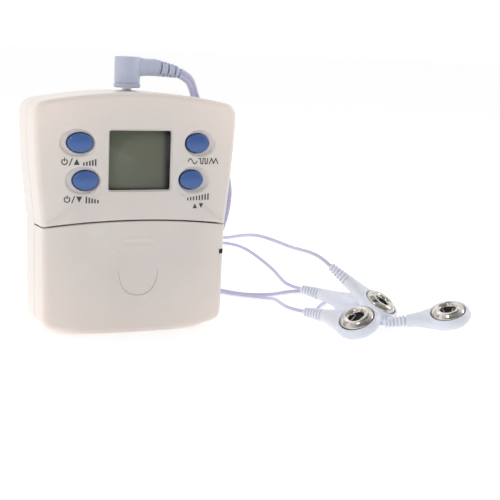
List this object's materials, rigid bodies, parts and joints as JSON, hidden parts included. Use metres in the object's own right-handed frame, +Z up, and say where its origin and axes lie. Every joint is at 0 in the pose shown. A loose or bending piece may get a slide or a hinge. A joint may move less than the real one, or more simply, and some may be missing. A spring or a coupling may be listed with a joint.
{
  "type": "tens unit",
  "caption": "Hand-held nerve stimulator: cream two-shell housing with a blank display, blue keys, a sliding battery cover, and a plug-in lead set ending in snap connectors.",
  "frame": {"origin": "bottom centre of the housing, on the surface it stands on", "axes": "+X to the right as seen by someone facing the display, +Y into the housing towards its back, +Z up"},
  "size_m": [0.1496, 0.1744, 0.0932],
  "materials": {
    "cream_plastic": "smooth moulded cream ABS, slightly glossy",
    "blue_key": "glossy mid-blue moulded key caps",
    "display_lens": "clear acrylic window",
    "display_glass": "olive grey-green liquid crystal panel, blank",
    "black_plastic": "matt black plastic",
    "board_laminate": "green printed circuit laminate with solder mask",
    "silicone": "grey silicone rubber",
    "carbon_rubber": "black conductive rubber",
    "plated_steel": "nickel-plated steel",
    "chrome_socket": "bright plated snap socket",
    "cell_jacket": "printed film over a steel can, plain dark",
    "copper_winding": "enamelled copper winding",
    "lead_plastic": "pale lilac-white moulded soft PVC",
    "cord_jacket": "pale lilac-grey PVC jacket"
  },
  "bodies": {
    "root": {"front_cover": "cream_plastic", "rear_cover": "cream_plastic", "battery_tray": "cream_plastic", "lcd_window": "display_lens", "lcd_glass": "display_glass", "lcd_frame": "black_plastic", "controller_chip": "black_plastic", "jack_socket": "black_plastic", "circuit_board": "board_laminate", "keypad_mat_left": "silicone", "keypad_mat_right": "silicone", "lcd_contact_strip": "carbon_rubber", "case_screw_upper_left": "plated_steel", "case_screw_upper_right": "plated_steel", "case_screw_lower_left": "plated_steel", "case_screw_lower_right": "plated_steel", "battery_contact_1": "plated_steel", "battery_contact_2": "plated_steel", "battery_contact_3": "plated_steel", "battery_spring_1": "plated_steel", "battery_spring_2": "plated_steel", "battery_spring_3": "plated_steel", "snap_ring_a": "chrome_socket", "snap_ring_b": "chrome_socket", "snap_ring_c": "chrome_socket", "snap_ring_d": "chrome_socket", "battery_cell_1": "cell_jacket", "battery_cell_2": "cell_jacket", "battery_cell_3": "cell_jacket", "storage_capacitor": "cell_jacket", "output_transformer": "copper_winding", "lead_splitter": "lead_plastic", "snap_connector_a": "lead_plastic", "snap_connector_b": "lead_plastic", "snap_connector_c": "lead_plastic", "snap_connector_d": "lead_plastic", "main_cord": "cord_jacket", "main_cord_coil": "cord_jacket", "lead_a": "cord_jacket", "lead_b": "cord_jacket", "lead_c": "cord_jacket", "lead_d": "cord_jacket"},
    "battery_cover_body": {"battery_cover": "cream_plastic"},
    "key_on_up": {"button_on_up": "blue_key", "contact_pill_on_up": "carbon_rubber"},
    "key_off_down": {"button_off_down": "blue_key", "contact_pill_off_down": "carbon_rubber"},
    "key_mode": {"button_mode": "blue_key", "contact_pill_mode": "carbon_rubber"},
    "key_strength": {"button_strength": "blue_key", "contact_pill_strength": "carbon_rubber"},
    "plug": {"plug_body": "lead_plastic", "plug_pin": "plated_steel"}
  },
  "joints": [
    {"name": "key_on_up_press", "type": "slide", "parent": "root", "child": "key_on_up", "axis": [0, 1, 0], "range_m": [0, 0.0012], "stiffness_N_per_m": 400},
    {"name": "key_off_down_press", "type": "slide", "parent": "root", "child": "key_off_down", "axis": [0, 1, 0], "range_m": [0, 0.0012], "stiffness_N_per_m": 400},
    {"name": "key_mode_press", "type": "slide", "parent": "root", "child": "key_mode", "axis": [0, 1, 0], "range_m": [0, 0.0012], "stiffness_N_per_m": 400},
    {"name": "key_strength_press", "type": "slide", "parent": "root", "child": "key_strength", "axis": [0, 1, 0], "range_m": [0, 0.0012], "stiffness_N_per_m": 400},
    {"name": "battery_cover_slide", "type": "slide", "parent": "root", "child": "battery_cover_body", "axis": [0, 0, -1], "range_m": [0, 0.036]},
    {"name": "plug_pull", "type": "slide", "parent": "root", "child": "plug", "axis": [0, 0, 1], "range_m": [0, 0.0145]}
  ]
}
